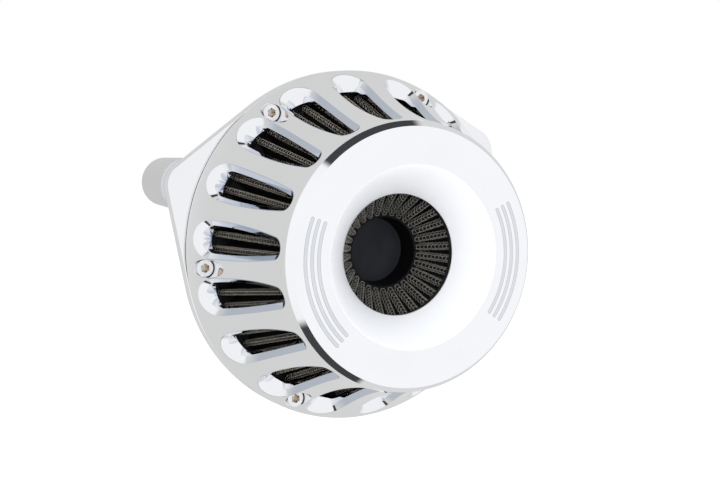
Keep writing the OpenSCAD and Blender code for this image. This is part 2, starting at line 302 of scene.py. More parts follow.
def wire(name, colour, rough):
    """Epoxy-coated wire, bronze-grey, with the coat uneven in places."""
    finish = Finish(name, colour, rough, 0.8)
    patch = finish.fade(finish.noise(420), 0.35, 0.7)
    finish.tint(patch, colour, 0.68)
    finish.vary(patch, rough, rough + 0.15)
    finish.bump(finish.noise(4000), 0.2, 0.00005)
    return finish


def fibre(name):
    """Gasket card: matt, mottled and fibrous."""
    finish = Finish(name, (0.05, 0.05, 0.055), 0.8)
    strands = finish.noise(700, stretch=(1, 1, 0.25))
    finish.tint(strands, (0.03, 0.03, 0.034), (0.075, 0.074, 0.075))
    finish.bump(strands, 0.4, 0.0001)
    return finish


CHROME = chrome("chrome", (0.90, 0.905, 0.91), 0.03)
# window walls: chrome with a painted reflection, blue-grey towards the front
WINDOW_CHROME_PAINTED_REFLECTION = painted_reflection_chrome("window_chrome_painted_reflection", (0.90, 0.905, 0.92), (0.60, 0.65, 0.73), 0.04)
CHROME_FACE = chrome("chrome_face", (0.955, 0.96, 0.972), 0.04)
# the grooves' chrome is darker grey than the face: painted shade in the grooves
GROOVE_PAINTED_SHADE = chrome("groove_chrome_painted_shade", (0.76, 0.77, 0.79), 0.12)
MOUTH = satin("satin_mouth", (0.77, 0.78, 0.80))
SATIN = turned("satin_aluminium", (0.80, 0.80, 0.81), 0.3)
HORN = turned("horn_aluminium", (0.72, 0.72, 0.73), 0.34)
STEEL = turned("zinc_steel", (0.55, 0.55, 0.57), 0.35, strength=0.15)
BRIGHT = turned("bright_steel", (0.88, 0.885, 0.90), 0.16, strength=0.1)
BRONZE = turned("socket_steel", (0.66, 0.57, 0.47), 0.24, strength=0.1)
RUBBER = rubber("rubber", (0.011, 0.011, 0.012), 0.42)
# the end cap: painted shade round the disc, and partly painted reflection on its paler floor
CAP_RUBBER_PAINTED_SHADE = cup_rubber_painted_shade("cap_rubber", (0.002, 0.002, 0.0025), (0.021, 0.023, 0.029), 0.42)
GASKET = fibre("gasket_card")
COTTON = cotton("black_gauze")
WIRE = wire("screen_wire", (0.74, 0.68, 0.58), 0.3)
# the inner screen's wire is a darker copy of the outer's: painted shade deep in the mouth
INNER_WIRE_PAINTED_SHADE = wire("inner_screen_wire_painted_shade", (0.46, 0.44, 0.39), 0.3)
CORE = turned("expanded_aluminium", (0.62, 0.62, 0.63), 0.4)


# ---------- geometry

def smooth_mesh(name, points, faces, finishes, slots=()):
    """A smooth mesh from points in metres. slots are its faces' places in finishes."""
    mesh = bpy.data.meshes.new(name)
    mesh.from_pydata(points.tolist(), [], faces)
    for finish in finishes:
        mesh.materials.append(finish.made)
    if slots:
        mesh.polygons.foreach_set("material_index", slots)
    mesh.polygons.foreach_set("use_smooth", [True] * len(faces))
    mesh.update()
    return mesh


def place(name, mesh, body, replaces=()):
    piece = add_object(name, mesh)
    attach(piece, body)
    if replaces:
        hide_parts(*replaces)


class Skin:
    """Patches of faces with a normal for each corner, joined into one mesh."""

    def __init__(self):
        self.points, self.normals, self.faces, self.slots, self.count = [], [], [], [], 0

    def patch(self, points, normals, faces, slot=0):
        corner = points[faces]
        across = np.cross(corner[:, 1] - corner[:, 0], corner[:, 2] - corner[:, 0])
        if faces.shape[1] == 4:
            across += np.cross(corner[:, 2] - corner[:, 0], corner[:, 3] - corner[:, 0])
        wrong = (across * normals[faces].sum(axis=1)).sum(axis=1) < 0
        faces = faces.copy()
        faces[wrong] = faces[wrong][:, ::-1]
        self.points.append(points)
        self.normals.append(normals)
        self.faces += (faces + self.count).tolist()
        self.slots += [slot] * len(faces)
        self.count += len(points)

    def sheet(self, points, normals, closed=True, slot=0):
        """Quads through rows of points. closed joins each row's end to its start."""
        rows, columns = points.shape[:2]
        index = np.arange(rows * columns).reshape(rows, columns)
        after = np.roll(index, -1, axis=1)
        if not closed:
            index, after = index[:, :-1], after[:, :-1]
        faces = np.stack([index[:-1], after[:-1], after[1:], index[1:]], axis=-1).reshape(-1, 4)
        self.patch(points.reshape(-1, 3), normals.reshape(-1, 3), faces, slot)

    def make(self, name, body, finishes, node):
        """Joins points that coincide, leaves out what shrinks to nothing, and adds the piece."""
        points, normals = np.concatenate(self.points) * MM, np.concatenate(self.normals)
        _, first, joined = np.unique(np.round(points, 8), axis=0,
                                     return_index=True, return_inverse=True)
        joined = joined.ravel()
        faces, corners, slots = [], [], []
        for face, face_slot in zip(self.faces, self.slots):
            ring = [i for n, i in enumerate(face) if joined[i] != joined[face[n - 1]]]
            if len({joined[i] for i in ring}) == len(ring) > 2:
                faces.append([int(joined[i]) for i in ring])
                corners += ring
                slots.append(face_slot)
        mesh = smooth_mesh(name, points[first], faces, finishes, slots)
        mesh.normals_split_custom_set(normals[corners].tolist())
        place(name, mesh, body, [node])


def angles(count, first=0.0):
    return first + np.arange(count) * 2 * pi / count


def ways(turn):
    """Unit directions at some angles, as seen from the front."""
    return np.stack([np.cos(turn), np.sin(turn)], axis=1)


def solid(x, z, forward):
    """Points from where they are as seen from the front, and how far forward."""
    return np.stack([x, -forward + 0 * x, z], axis=-1)


def around(radii, turn, forward, at=(0, 0)):
    """Points round an axis through at, from arrays or numbers that fit together."""
    return solid(at[0] + radii * np.cos(turn), at[1] + radii * np.sin(turn), forward)


def rounded(corners, closed=False, steps=5):
    """A section with its corners rounded, as rows of radius, forward and outward normal.
    Corners are (radius, forward, rounding), with the material on the left."""
    points = np.array([c[:2] for c in corners], float)
    ahead = np.roll(points, -1, axis=0) - points
    ahead /= np.maximum(np.linalg.norm(ahead, axis=1), 1e-9)[:, None]
    out = np.stack([ahead[:, 1], -ahead[:, 0]], axis=1)
    rows, last = [], len(corners) - 1
    for n, (corner, point) in enumerate(zip(corners, points)):
        before, after = out[n - 1], out[n]
        if not closed and n in (0, last):
            rows.append((*point, *(after if n == 0 else before)))
            continue
        turn = atan2(before[0] * after[1] - before[1] * after[0], before @ after)
        size = corner[2]
        if not size or abs(turn) < 1e-6:
            rows += [(*point, *before), (*point, *after)]
            continue
        side = copysign(size, turn)
        hub = point - ahead[n - 1] * size * tan(abs(turn) / 2) - before * side
        for step in np.linspace(0, turn, steps + 1):
            normal = np.array([before[0] * cos(step) - before[1] * sin(step),
                               before[0] * sin(step) + before[1] * cos(step)])
            rows.append((*(hub + normal * side), *normal))
    if closed:
        rows.append(rows[0])
    return np.array(rows)


def lathe(skin, section, count=192, at=(0, 0), slot=0):
    """Turns rows of radius, forward and normal round an axis. A list of corners is rounded first."""
    if isinstance(section, list):
        section = rounded(section)
    turn = angles(count)[None, :]
    rows = section[:, :, None]
    skin.sheet(around(rows[:, 0], turn, rows[:, 1], at),
               around(rows[:, 2], turn, rows[:, 3]), slot=slot)


def turned_normals(points, turn, sign=1):
    """Normals of a closed sheet from its own points, out from its axis or, with -1, towards it."""
    along = np.gradient(points, axis=0)
    across = np.roll(points, -1, axis=1) - np.roll(points, 1, axis=1)
    normals = np.cross(along, across)
    normals /= np.maximum(np.linalg.norm(normals, axis=2, keepdims=True), 1e-12)
    return normals * np.sign((normals * around(sign, turn, 0)).sum(axis=2, keepdims=True))


def inside(points, loops):
    """Which points lie in an odd number of the loops."""
    odd = np.zeros(len(points), bool)
    for loop in loops:
        a, b = loop, np.roll(loop, -1, axis=0)
        for start in range(0, len(points), 4000):
            x, y = points[start:start + 4000, 0:1], points[start:start + 4000, 1:2]
            crosses = (a[:, 1] > y) != (b[:, 1] > y)
            with np.errstate(divide="ignore", invalid="ignore"):
                edge = a[:, 0] + (y - a[:, 1]) * (b[:, 0] - a[:, 0]) / (b[:, 1] - a[:, 1])
            odd[start:start + 4000] ^= (crosses & (x < edge)).sum(axis=1) % 2 == 1
    return odd


def fill(loops, extra=None):
    """Triangles between closed loops in a plane. Returns the points and the faces."""
    points, edges, start = [], [], 0
    for loop in loops:
        index = np.arange(len(loop)) + start
        edges += np.stack([index, np.roll(index, -1)], axis=1).tolist()
        points.append(loop)
        start += len(loop)
    if extra is not None:
        points.append(extra)
    points = np.concatenate(points)
    corners = [Vector(point) for point in points]
    found, _, faces, origin, _, _ = delaunay_2d_cdt(corners, edges, [], 0, 1e-6)
    kept = np.array([points[o[0]] if o else tuple(v) for v, o in zip(found, origin)])
    faces = np.array([f for f in faces if len(f) == 3])
    middle = kept[faces].mean(axis=1)
    return kept, faces[inside(middle, loops)]


def flat(skin, loops, forward, facing, slot=0):
    """A flat face between loops; facing is 1 to the front and -1 to the back."""
    points, faces = fill(loops)
    skin.patch(solid(*points.T, forward), np.tile([0.0, -facing, 0.0], (len(points), 1)), faces, slot)


def circle(size, count, at=(0, 0), first=0.0):
    return np.array(at) + size * ways(angles(count, first))


def wall(skin, loop, out, section, slot=0):
    """A wall that follows a loop. The section's radius is a step along out."""
    step, forward, side, lean = section.T[:, :, None]
    x, z = loop.T[:, None] + out.T[:, None] * step
    skin.sheet(solid(x, z, forward), solid(*(out.T[:, None] * side), lean), slot=slot)


def unit(vectors):
    return vectors / np.maximum(np.linalg.norm(vectors, axis=-1, keepdims=True), 1e-12)


# ---------- cage

def cone_r(forward):
    return CAGE_R - CONE_SLOPE * (forward - CONE_BACK)


def outside_r(forward):
    """The cage's outside, which dips below the cone between its two ends."""
    share = np.clip((forward - CONE_BACK) / (CAGE_FRONT - CONE_BACK), 0, 1)
    return cone_r(forward) - 4 * DIP * share * (1 - share)


def outside_lean(forward):
    """The outside's normal, as its parts along the radius and forwards."""
    fall = (outside_r(forward - 0.01) - outside_r(forward + 0.01)) / 0.02
    return unit(np.stack([1 + 0 * fall, fall], axis=-1))


def inner_r(forward):
    return np.minimum(cone_r(forward) - WALL_R, FOOT_R)


def inner_lean(forward):
    cone = [-cos(CONE_ANGLE), -sin(CONE_ANGLE)]
    return np.where((forward < FOOT_TOP)[..., None], [-1.0, 0.0], cone)


def window_outline():
    """A window seen square to the cone: an egg of four arcs, with its outward normals."""
    def end(ahead):
        size = (WINDOW_SIDE_R ** 2 - (WINDOW_SIDE_R - WINDOW_HALF) ** 2 - ahead ** 2) \
            / (2 * (WINDOW_SIDE_R - ahead))
        return size, asin((ahead - size) / (WINDOW_SIDE_R - size))
    (back, back_turn), (front, front_turn) = end(WINDOW_BELLY), end(WINDOW_LENGTH - WINDOW_BELLY)
    quarter, offset = pi / 2, WINDOW_SIDE_R - WINDOW_HALF
    arcs = [((back, 0), back, quarter + back_turn, 3 * quarter - back_turn, 40),
            ((WINDOW_BELLY, offset), WINDOW_SIDE_R, 3 * quarter - back_turn, 3 * quarter + front_turn, 24),
            ((WINDOW_LENGTH - front, 0), front, -quarter + front_turn, quarter - front_turn, 26),
            ((WINDOW_BELLY, -offset), WINDOW_SIDE_R, quarter - front_turn, quarter + back_turn, 24)]
    points, out = [], []
    for at, size, start, stop, steps in arcs:
        turn = np.linspace(start, stop, steps + 1)[:-1]
        way = ways(turn)
        points.append(np.array(at) + size * way)
        out.append(way)
    return np.concatenate(points), np.concatenate(out)


LEAN = np.array([-sin(CONE_ANGLE), 0, cos(CONE_ANGLE)])
RISE = np.array([cos(CONE_ANGLE), 0, sin(CONE_ANGLE)])


def window_lines(grow=0.0):
    """Outer and inner ends of the straight lines that a window's cut follows."""
    outline, out = window_outline()
    start = np.array([cone_r(WINDOW_BACK), 0, WINDOW_BACK])
    ends = []
    for height in (1.5, -WALL - 1.9):
        grown = outline + out * (height * WINDOW_BEVEL + grow)
        ends.append(start + grown[:, :1] * LEAN + grown[:, 1:] * [0, 1, 0] + height * RISE)
    return ends


def meet(lines, surface):
    """Where lines cross a surface of revolution, given as a radius by forward."""
    first, second = lines
    low, high = np.zeros(len(first)), np.ones(len(first))
    for _ in range(40):
        middle = (low + high) / 2
        point = first + (second - first) * middle[:, None]
        outside = np.hypot(point[:, 0], point[:, 1]) > surface(point[:, 2])
        low, high = np.where(outside, middle, low), np.where(outside, high, middle)
    return first + (second - first) * middle[:, None]


def eased(corners, sizes, steps=5, spans=3):
    """Rows of points down a wall through rows of corners, each inner corner rounded."""
    rows, last = [corners[0]], corners[0]
    for before, corner, after, size in zip(corners, corners[1:], corners[2:], sizes):
        start, stop = corner + unit(before - corner) * size, corner + unit(after - corner) * size
        rows += [last + (start - last) * t for t in np.linspace(0, 1, spans)[1:]]
        for t in np.linspace(0, 1, steps)[1:]:
            rows.append(start * (1 - t) ** 2 + corner * 2 * t * (1 - t) + stop * t * t)
        last = rows[-1]
    rows += [last + (corners[-1] - last) * t for t in np.linspace(0, 1, spans)[1:]]
    return np.array(rows)


def wall_normals(rows):
    """Normals of a wall round a hole, turned towards the hole's middle."""
    along = unit(np.roll(rows, -1, axis=1) - np.roll(rows, 1, axis=1))
    normals = unit(np.cross(along, unit(np.gradient(rows, axis=0))))
    hub = rows.mean(axis=1, keepdims=True)
    return normals * np.sign(((hub - rows)[8] * normals[8]).sum())


def surface_normals(points, lean):
    """Normals of points on a surface of revolution, in a window's own frame."""
    tilt = lean(points[:, 2])
    return np.concatenate([unit(points[:, :2]) * tilt[:, :1], tilt[:, 1:]], axis=1)


def window_rows():
    """Rows down a window's wall: a wide chamfer, then a steeper wall to the inside."""
    out = window_outline()[1]
    end = np.maximum(-out[:, :1], 0)
    edge = meet(window_lines(), outside_r)
    inward = -(out[:, :1] * LEAN + out[:, 1:] * [0, 1, 0])
    chamfer = edge + inward * (2.6 + 0.3 * end) - RISE * (2.3 + 0.2 * end)
    inside_edge = meet(window_lines(), inner_r)
    rows = eased([meet(window_lines(0.3), outside_r), edge, chamfer, inside_edge,
                  meet(window_lines(0.3), inner_r)], (0.22, 0.35, 0.25))
    normals = wall_normals(rows)
    normals[0] = surface_normals(rows[0], outside_lean)
    normals[-1] = surface_normals(rows[-1], inner_lean)
    return rows, normals


def swing(points, turn):
    """Turns points given as radial, sideways, forward into the frame at an angle."""
    c, s = cos(turn), sin(turn)
    x, y, forward = np.moveaxis(points, -1, 0)
    return solid(x * c - y * s, x * s + y * c, forward)


def pocket_rows():
    """Rows down a screw pocket, from the cage's outside to the seat."""
    turn = angles(96)
    heights = np.linspace(CONE_BACK - 4, CAGE_FRONT, 2000)

    def rim(size):
        x, y = COVER_R + size * np.cos(turn), size * np.sin(turn)
        where = np.interp(-np.hypot(x, y), -outside_r(heights), heights)
        return np.stack([x, y, where], axis=1)

    seat = np.stack([COVER_R + POCKET_R * np.cos(turn), POCKET_R * np.sin(turn),
                     np.full(96, COVER_SEAT)], axis=1)
    rows = eased([rim(POCKET_R + 0.2), rim(POCKET_R), seat], (0.2,), spans=5)
    normals = np.broadcast_to(unit(([COVER_R, 0, 0] - rows) * [1, 1, 0]), rows.shape).copy()
    normals[0] = surface_normals(rows[0], outside_lean)
    for n in range(1, 4):
        normals[n] = unit(normals[0] * (1 - n / 4) + normals[5] * n / 4)
    return rows, normals


def cone_sheet(skin, loops, low, high, surface, lean, step):
    """A sixth of a surface of revolution with holes in it, repeated round the axis."""
    first, last = radians(-20) * CAGE_R, radians(40) * CAGE_R
    flat_loops = [np.stack([np.arctan2(loop[:, 1], loop[:, 0]) * CAGE_R, loop[:, 2]], axis=1)
                  for loop in loops]
    side, turn = np.linspace(low, high, 40), np.linspace(first, last, 91)
    edge = [(t, low) for t in turn] + [(last, f) for f in side[1:-1]]
    edge = np.array(edge + [(t, high) for t in turn[::-1]] + [(first, f) for f in side[-2:0:-1]])
    grid = np.stack(np.meshgrid(np.linspace(first, last, 60)[1:-1],
                                np.arange(low + step, high - 0.5 * step, step)), axis=-1).reshape(-1, 2)
    clear = inside(grid, [edge] + flat_loops)
    margin = 0.6
    for loop in flat_loops:
        clear &= np.linalg.norm(grid[:, None] - loop[None], axis=2).min(axis=1) > margin
    points, faces = fill([edge] + flat_loops, extra=grid[clear])
    turn, forward = points[:, 0] / CAGE_R, points[:, 1]
    tilt = lean(forward)
    for n in range(6):
        spin = turn + n * pi / 3
        skin.patch(around(surface(forward), spin, forward),
                   around(tilt[:, 0], spin, tilt[:, 1]), faces)


def spun(loop):
    """A window's loop at each of the three places that it has in a sixth of the cage."""
    for degrees in (-10, 10, 30):
        c, s = cos(radians(degrees)), sin(radians(degrees))
        yield np.stack([loop[:, 0] * c - loop[:, 1] * s,
                        loop[:, 0] * s + loop[:, 1] * c, loop[:, 2]], axis=1)


def add_cage():
    skin = Skin()
    rows, normals = window_rows()
    for n in range(18):
        turn = radians(10 + 20 * n)
        skin.sheet(swing(rows, turn), swing(normals, turn), slot=1)
    pocket, walls = pocket_rows()
    hub = np.array([COVER_R, 0, COVER_SEAT])
    seat = np.array([pocket[-1], hub + (pocket[-1] - hub) * COVER_BORE / POCKET_R])
    shank = np.array([seat[1], seat[1] * [1, 1, 0] + [0, 0, CAGE_BACK]])
    inward = unit(([COVER_R, 0, 0] - shank) * [1, 1, 0])
    for turn in angles(6):
        skin.sheet(swing(pocket, turn), swing(walls, turn))
        skin.sheet(swing(seat, turn), np.tile([0.0, -1.0, 0.0], (2, 96, 1)))
        skin.sheet(swing(shank, turn), swing(inward, turn))
    low, high = CONE_BACK + 0.5, CAGE_FRONT - 0.28
    cone_sheet(skin, [*spun(rows[0]), pocket[0]], low, high, outside_r, outside_lean, 2.0)
    cone_sheet(skin, [*spun(rows[-1])], CAGE_BACK + 0.3, FLANGE_BACK, inner_r, inner_lean, 3.2)
    # the back edge, and the front end with its inward flange
    lathe(skin, [(FOOT_R, CAGE_BACK + 0.3, 0), (FOOT_R, CAGE_BACK, 0.15),
                 (FOOT_R + 0.5, CAGE_BACK, 0)], ROUND)
    lathe(skin, [(CAGE_R - 1.4, CAGE_BACK, 0), (CAGE_R - 0.6, CAGE_BACK, 0.2),
                 (CAGE_R, CAGE_BACK + 0.6, 0.5), (CAGE_R, CONE_BACK, 0.6),
                 (outside_r(low), low, 0)], ROUND)
    flat(skin, [circle(CAGE_R - 1.4, ROUND), circle(FOOT_R + 0.5, ROUND)]
         + [circle(COVER_BORE, 96, at) for at in screw_ring(COVER_R, 6)], CAGE_BACK, -1)
    front_wall = FACE_R - WALL_R
    lathe(skin, [(outside_r(high), high, 0), (FACE_R, CAGE_FRONT, 0.22),
                 (front_wall, CAGE_FRONT, 0.2), (front_wall, FLANGE_FRONT, 0),
                 (FLANGE_R, FLANGE_FRONT, 0.3), (FLANGE_R, FLANGE_BACK, 0.3),
                 (inner_r(FLANGE_BACK), FLANGE_BACK, 0)], ROUND)
    skin.make("cage_shell", "cover", [CHROME, WINDOW_CHROME_PAINTED_REFLECTION], "outer_cage")


# ---------- face ring

def bell(turn, thick):
    """A point of the bell mouth's section, from the flat face at 0 to the lip at 90 degrees."""
    power = 2 / BELL_POWER
    depth = FACE - LIP
    return (BELL_R - (BELL_R - MOUTH_R - thick) * sin(turn) ** power,
            FACE - depth + (depth - thick) * max(cos(turn), 0) ** power)


def free_section(points):
    """A section through points, with normals from its own course and the material on the left."""
    points = np.array(points)
    ahead = unit(np.gradient(points, axis=0))
    return np.concatenate([points, np.stack([ahead[:, 1], -ahead[:, 0]], axis=1)], axis=1)


def groove_loop(size, start, end, half):
    """Outline and outward normals of a round-ended slot along an arc."""
    sweep = np.radians(np.linspace(start, end, 110))
    cap = np.radians(np.linspace(0, 180, 15))[1:-1]
    way = ways(sweep)
    out = np.concatenate([way, ways(sweep[-1] + cap), -way[::-1], ways(sweep[0] + pi + cap)])
    ends = [size * np.tile(way[n], (len(cap), 1)) for n in (-1, 0)]
    return np.concatenate([size * way, ends[0], size * way[::-1], ends[1]]) + out * half, out


def add_face():
    skin = Skin()
    half, depth, edge, ease = GROOVES["width"] / 2, GROOVES["depth"], 0.12, 0.05
    # a ball-nosed cut: an arc across, with its edges eased
    section = [(edge, 0.0), (edge * 0.45, -0.012), (0, -ease)]
    section += [(-half * (1 - cos(t)), -ease - (depth - ease) * sin(t))
                for t in np.linspace(0, 1, 8)[1:] * pi / 2]
    profile = np.array([(o, FACE + h) for o, h in section])
    ahead = unit(np.gradient(profile, axis=0))
    lean = np.stack([ahead[:, 1], -ahead[:, 0]], axis=1)
    lean *= np.sign(lean[:, 1:])
    lean[0], lean[-1] = (0, 1), (0, 1)
    holes = []
    for size in GROOVES["radii"]:
        for start, end in GROOVES["spans"]:
            loop, out = groove_loop(size, start, end, half)
            wall(skin, loop, out, np.concatenate([profile, lean], axis=1), slot=2)
            holes.append(loop + out * edge)
    flat_r, seam, thick = FACE_FLAT_R - 0.6, CAGE_FRONT + 0.15, 3
    lathe(skin, rounded([(FACE_R, seam, 0), (FACE_R, CAGE_FRONT + 0.3, 0.12),
                         (FACE_FLAT_R, FACE, 0.45), (flat_r, FACE, 0)], steps=6), ROUND)
    flat(skin, [circle(flat_r, ROUND), circle(BELL_R, ROUND)] + holes, FACE, 1)
    # the bell, its lip and its back
    lip = LIP + 1.0
    front = [bell(t, 0) for t in np.linspace(0, pi / 2, 56)]
    mouth = free_section(front[:-1] + [(MOUTH_R, lip)])
    mouth[0, 2:] = (0, 1)
    mouth[-1, 2:] = (-1, 0)
    lathe(skin, mouth, ROUND, slot=1)
    lathe(skin, [(MOUTH_R, lip, 0), (MOUTH_R, LIP, 0.8), (MOUTH_R + thick, LIP, 0.8),
                 (MOUTH_R + thick, lip, 0)], 360, slot=1)
    back = free_section([bell(t, thick) for t in np.linspace(pi / 2 - 0.12, 0, 30)])
    back[0, :2] = (MOUTH_R + thick, lip)
    lathe(skin, back, 360)
    register, step = FACE_R - WALL_R - 0.15, FLANGE_FRONT + 0.1
    lathe(skin, [(BELL_R, FACE - thick, 0), (BELL_R, step, 0.3), (register, step, 0.3),
                 (register, seam, 0.2), (FACE_R, seam, 0)], ROUND)
    skin.make("face_shell", "cover", [CHROME_FACE, MOUTH, GROOVE_PAINTED_SHADE], "face_ring")


# ---------- plate

def plate_loop():
    """The plate's outline and its outward normals, run round from the right ear."""
    left, right = EARS
    turns = [atan2(ear[1], ear[0]) for ear in EARS]
    leans = [acos((CAGE_R - EAR_R) / np.linalg.norm(ear)) for ear in EARS]
    left_start, right_start = (turn - lean for turn, lean in zip(turns, leans))
    left_stop, right_stop = (turn + lean for turn, lean in zip(turns, leans))
    arcs = [(right, EAR_R, right_start, right_stop, 24), ((0, 0), CAGE_R, right_stop, left_start, 60),
            (left, EAR_R, left_start, left_stop, 24),
            ((0, 0), CAGE_R, left_stop, right_start + 2 * pi, 260)]
    out = [ways(np.linspace(start, stop, steps + 1)) for _, _, start, stop, steps in arcs]
    loop = [np.array(arc[0]) + arc[1] * way for arc, way in zip(arcs, out)]
    return np.concatenate(loop), np.concatenate(out)


def add_plate():
    skin = Skin()
    loop, out = plate_loop()
    edge = 0.7
    wall(skin, loop, out, rounded([(-edge, 0, 0), (0, 0, edge - 0.05), (0, PLATE_T, edge - 0.05),
                                   (-edge, PLATE_T, 0)], steps=6))
    bores = [((0, 0), HORN_HOLE)]
    bores += [(at, THROTTLE_BORE) for at in screw_ring(THROTTLE_SCREWS_R, 3, 90)]
    bores += [(at, COVER_BORE) for at in screw_ring(COVER_R, 6)]
    ease = 0.25
    hole = rounded([(-ease, PLATE_T, 0), (0, PLATE_T, ease - 0.02), (0, 0, ease - 0.02),
                    (-ease, 0, 0)])
    for at, size in bores:
        wall(skin, circle(size, 96, at), -circle(1, 96), hole)
    holes = [circle(size + ease, 96, at) for at, size in bores]
    # where the breather galleries open on the plate's front
    ports = [circle(PORT_R, 40, ear / np.linalg.norm(ear) * PORT_CENTRE_R) for ear in EARS]
    for port in ports:
        wall(skin, port, -circle(1, 40),
             rounded([(0, PLATE_T, 0), (0, 1.6, 0), (-PORT_R, 1.2, 0)]))
    flat(skin, [loop - out * edge] + holes + ports, PLATE_T, 1)
    flat(skin, [loop - out * edge] + holes, 0, -1)
    skin.make("plate_body", "base", [CHROME], "back_plate")


# ---------- screws

def add_screw(skin, at, seat, head, socket, shank, thread, ahead=1, neck=0.0):
    """A socket-head screw: head is (radius, height), shank (radius, length), thread the pitch."""
    head_r, head_h = head
    shank_r, shank_len = shank
    share = Skin()
    edge = head_r - 0.45
    lathe(share, [(shank_r, 0, 0), (head_r, 0, 0.15), (head_r, 0.5, 0)], 240)
    rise = np.array([[0.5, 0.62, 0.8, head_h - 1.0, head_h - 0.8, head_h - 0.68]]).T
    knurl = np.array([[0, 0.6, 1, 1, 0.6, 0]]).T * 0.11
    turn = angles(240)[None]
    body = around(head_r - knurl * (0.5 + 0.5 * np.cos(turn * 48)), turn, rise)
    share.sheet(body, turned_normals(body, turn))
    lathe(share, [(head_r, head_h - 0.68, 0), (head_r, head_h - 0.35, 0.1), (edge, head_h, 0.12),
                  (edge - 0.3, head_h, 0)], 240)
    # the socket: its mouth, six flat sides and a drilled floor
    floor, bevel = head_h * 0.5, 0.14
    turn = angles(240)
    hexagon = socket / 2 / np.cos((turn + pi / 6) % (pi / 3) - pi / 6)
    facing = np.tile([0.0, -1.0, 0.0], (2, 240, 1))
    top = around(hexagon + 0.12, turn, head_h)
    share.sheet(np.array([around(edge - 0.3, turn, head_h), top]), facing.copy())
    share.sheet(np.array([top, around(hexagon, turn, head_h - bevel)]),
                np.array([around(-0.7, turn, 0.7)] * 2))
    for n in range(6):
        ends = np.array([n, n + 1]) * pi / 3
        rows = np.array([around(socket / sqrt(3), ends, h) for h in (head_h - bevel, floor)])
        inward = np.tile(around(-1, ends.mean(), 0), (2, 2, 1))
        share.sheet(rows, inward, closed=False, slot=1)
    share.sheet(np.array([around(hexagon, turn, floor), around(0 * hexagon, turn, floor - 0.9)]),
                facing, slot=1)
    # the shank, with a real thread
    start, tip = -neck, 0.6
    if neck:
        lathe(share, [(shank_r - 0.25, start, 0), (shank_r - 0.25, 0, 0)], 48)
    rows = max(int((shank_len - neck - tip) / thread * 8), 8)
    fall = np.linspace(start, -shank_len + tip, rows)[:, None]
    turn = angles(32)[None]
    wave = 0.5 + 0.5 * np.cos(2 * pi * fall / thread - turn)
    cut = 0.3 * thread * wave * np.clip((start - fall) / 0.8, 0, 1)
    ridges = around(shank_r - cut, turn, fall)
    share.sheet(ridges, turned_normals(ridges, turn))
    lathe(share, [(0, -shank_len, 0), (shank_r - 0.75, -shank_len, 0.1),
                  (shank_r - 0.15, -shank_len + tip, 0)], 32)
    for points, normals in zip(share.points, share.normals):
        points[:, 1] *= ahead
        normals[:, 1] *= ahead
        points += [at[0], -seat, at[1]]
    faces = [f[::ahead] for f in share.faces]
    skin.points += share.points
    skin.normals += share.normals
    skin.faces += [[i + skin.count for i in f] for f in faces]
    skin.slots += share.slots
    skin.count += share.count


def screw_ring(size, count, first=0.0):
    return circle(size, count, first=radians(first))


def add_screws():
    cover = (COVER_SEAT, (4.25, SCREW_HEAD_H), 4.0, (2.5, COVER_SEAT - 0.3), 0.8)
    ring = (FLANGE_BACK, (3.5, 2.6), 2.5, (2.0, 7.4), 0.7, -1)
    throttle = (HORN_FLANGE, (5.0, 6.0), 5.0, (3.0, 22), 1.0, 1, HORN_FLANGE + 1)
    for name, body, slot, finishes, node, places, sizes in (
            ("cover", "screws", "bright_steel", [BRIGHT, BRONZE], "cover_screws",
             screw_ring(COVER_R, 6), cover),
            ("ring", "cover", "steel", [STEEL, STEEL], "face_screws",
             screw_ring(RING_SCREWS_R, 6, 30), ring),
            ("throttle", "base", "steel", [STEEL, STEEL], "throttle_screws",
             screw_ring(THROTTLE_SCREWS_R, 3, 90), throttle)):
        skin = Skin()
        for at in places:
            add_screw(skin, at, *sizes)
        skin.make(name + "_screw_set", body, finishes, node)


# ---------- turned parts

def turned_piece(name, body, finish, node, corners, count=256, closed=True):
    skin = Skin()
    lathe(skin, rounded(corners, closed=closed), count)
    skin.make(name, body, [finish], node)


def add_standoffs():
    """Posts with a threaded bore at the back end, and the O-ring in the groove there."""
    end, stop, bore_r, run_in = HEAD_END, HEAD_END + 23, 5.4, 1.5
    for side, at in zip(("left", "right"), EARS):
        skin = Skin()
        lathe(skin, [(bore_r, stop, 0), (bore_r, stop + 1, 0), (3, stop + 2.2, 0), (3, 4.4, 0)],
              64, at)
        rows = np.linspace(end + 0.6, stop, 190)[:, None]
        turn = angles(48)[None]
        wave = 0.5 + 0.5 * np.cos(2 * pi * rows / 1.95 - turn)
        ease = (np.clip((rows - end - 0.6) / run_in, 0, 1) * np.clip((stop - rows) / run_in, 0, 1))
        bore = around(bore_r + 0.45 * wave * ease, turn, rows, at)
        skin.sheet(bore, turned_normals(bore, turn, -1))
        lathe(skin, [(bore_r, end + 0.6, 0), (6.0, end, 0), (8.1, end, 0.15), (8.1, end + 2, 0.2),
                     (10.7, end + 2, 0.2), (10.7, end, 0.15), (11.9, end, 0.1),
                     (12.42, end + 0.5, 0.15), (13.4, -0.02, 0.2), (8, -0.02, 0), (8, 4.4, 0.3),
                     (3, 4.4, 0)], 160, at)
        skin.make("standoff_" + side, "base", [SATIN], "breather_standoff_" + side)
        ring = Skin()
        wire_r, low = 1.2, reach("standoff_oring_" + side)[0]
        way = ways(np.linspace(0, 2 * pi, 25))
        lathe(ring, np.hstack([np.array([9.4, low + wire_r]) + wire_r * way, way]), 128, at)
        ring.make("oring_" + side, "base", [RUBBER], "standoff_oring_" + side)


